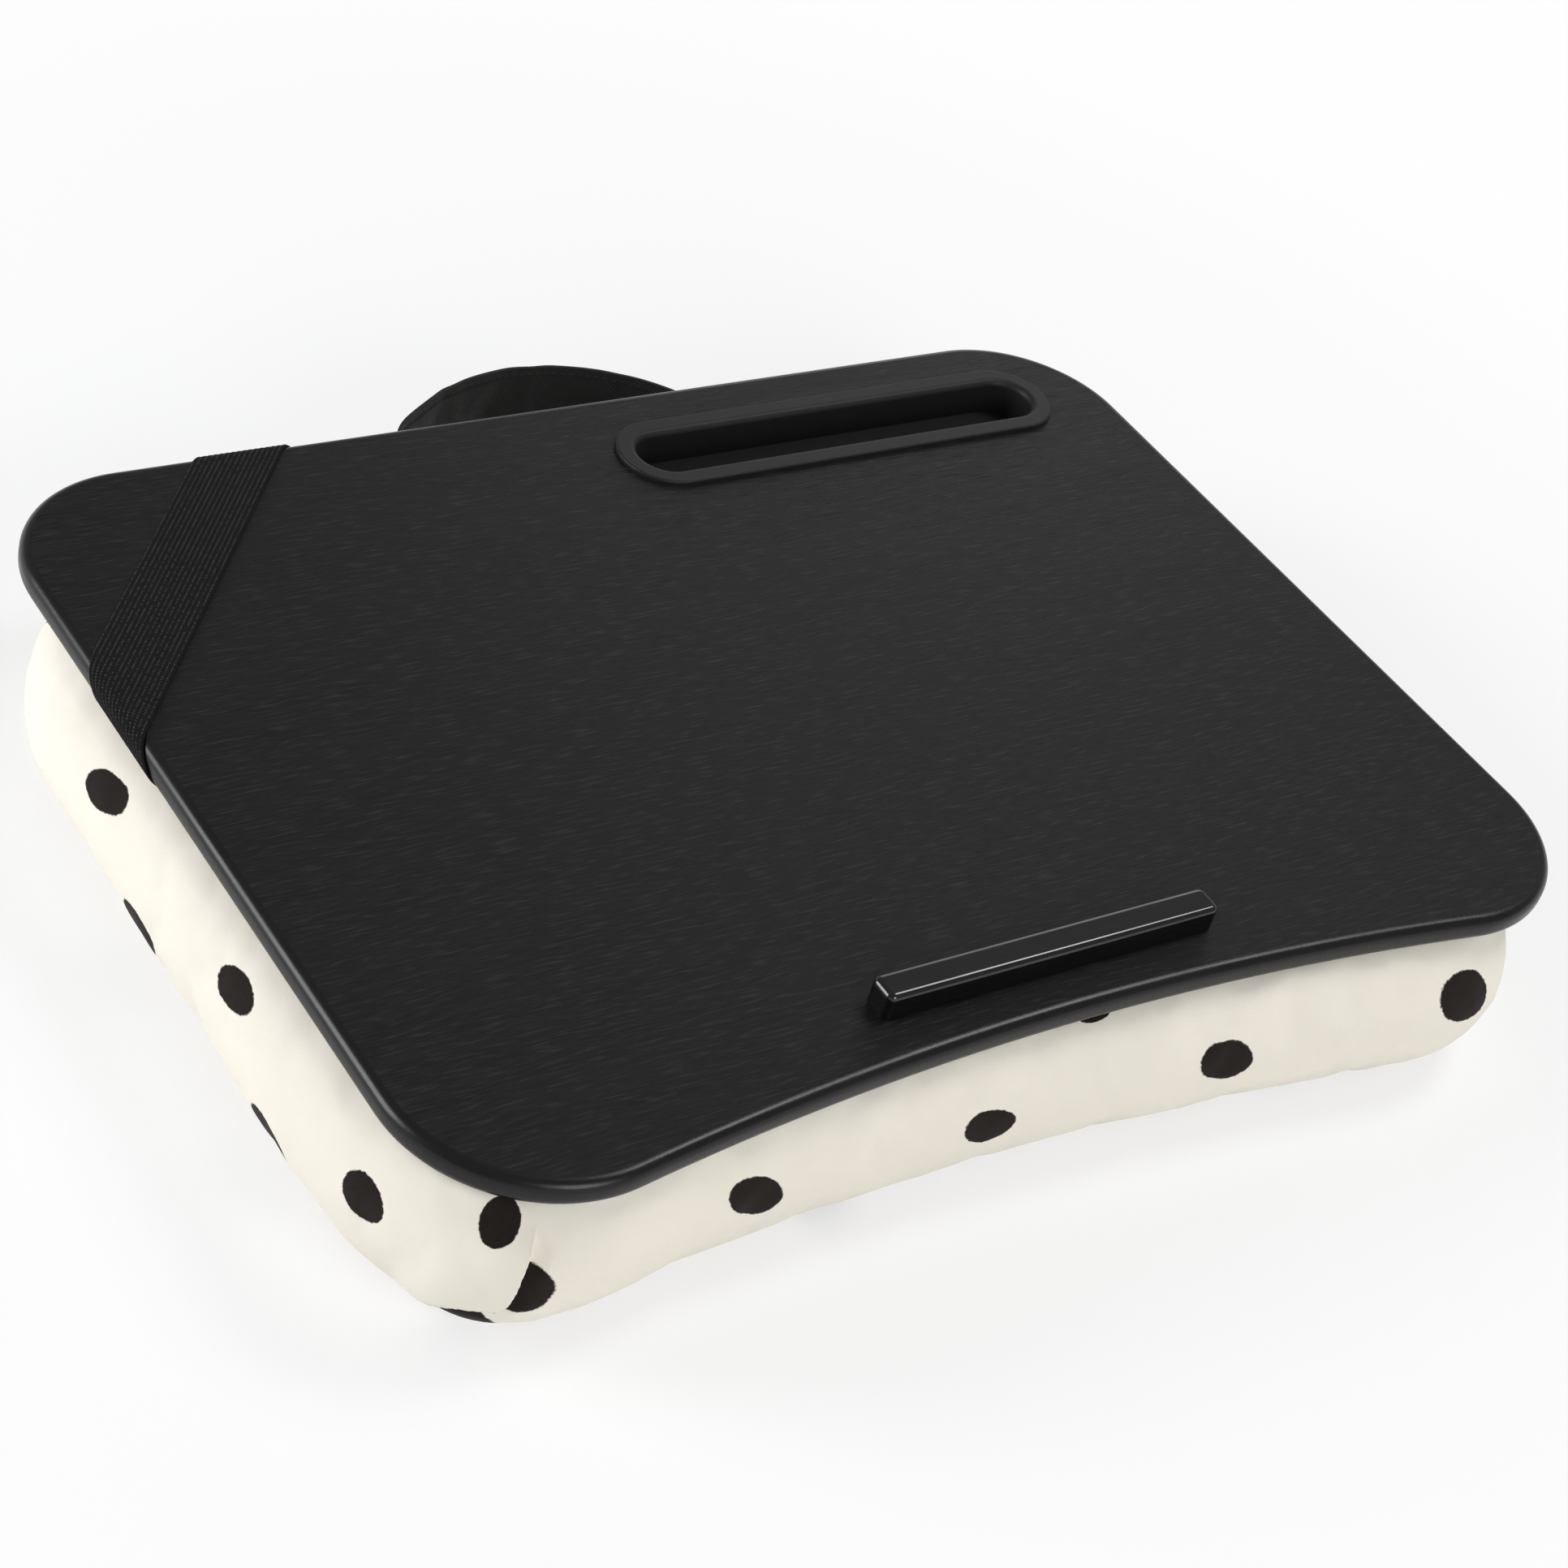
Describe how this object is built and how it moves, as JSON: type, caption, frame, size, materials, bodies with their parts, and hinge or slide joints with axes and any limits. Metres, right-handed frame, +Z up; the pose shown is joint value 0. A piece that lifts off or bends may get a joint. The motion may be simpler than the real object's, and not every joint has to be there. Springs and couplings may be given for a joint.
{
  "type": "lap tray with cushion",
  "caption": "Lap tray: black wave-fronted board with a device slot, front ledge and elastic corner strap, stapled to a dotted bolster cushion with a fabric carry handle.",
  "frame": {"origin": "centre of the board's width and depth, on the cushion's flat base", "axes": "+X to the right along the board's width, +Y towards the back edge with the handle, +Z up from the base to the board"},
  "size_m": [0.446, 0.3783, 0.0729],
  "materials": {
    "board_edge": "fibreboard with smooth satin black painted edge",
    "grain_film": "black laminate film embossed with fine wood grain",
    "slot_plastic": "fine-textured satin black moulding",
    "ledge_plastic": "glossy black moulding",
    "steel": "plain zinc-plated wire and screws",
    "elastic": "ribbed woven black elastic with grey flecks",
    "handle_band": "black twill band with sewn hem",
    "dotted_cover": "cream woven cotton printed with rough brown-black dots",
    "lining": "plain woven lining",
    "fill": "light bead and fibre filling"
  },
  "bodies": {
    "tray": {"board_core": "board_edge", "board_top_film": "grain_film", "device_slot_insert": "slot_plastic", "device_ledge": "ledge_plastic", "ledge_screws": "steel", "strap_back_end": "elastic", "strap_side_end": "elastic", "strap_staples": "steel", "handle_left_tab": "handle_band", "handle_right_tab": "handle_band", "cover_shell": "dotted_cover", "cover_hem": "dotted_cover", "cover_staples": "steel", "top_lining": "lining", "left_bolster_fill": "fill", "right_bolster_fill": "fill"},
    "strap": {"strap_span": "elastic"},
    "handle": {"carry_handle": "handle_band"}
  },
  "joints": [
    {"name": "strap_lift", "type": "slide", "parent": "tray", "child": "strap", "axis": [0, 0, 1], "range_m": [0, 0.025], "stiffness_N_per_m": 150},
    {"name": "handle_swing", "type": "hinge", "parent": "tray", "child": "handle", "pos_m": [0, 0.17403, 0.03815], "axis": [1, 0, 0], "range_deg": [-60, 30]}
  ]
}
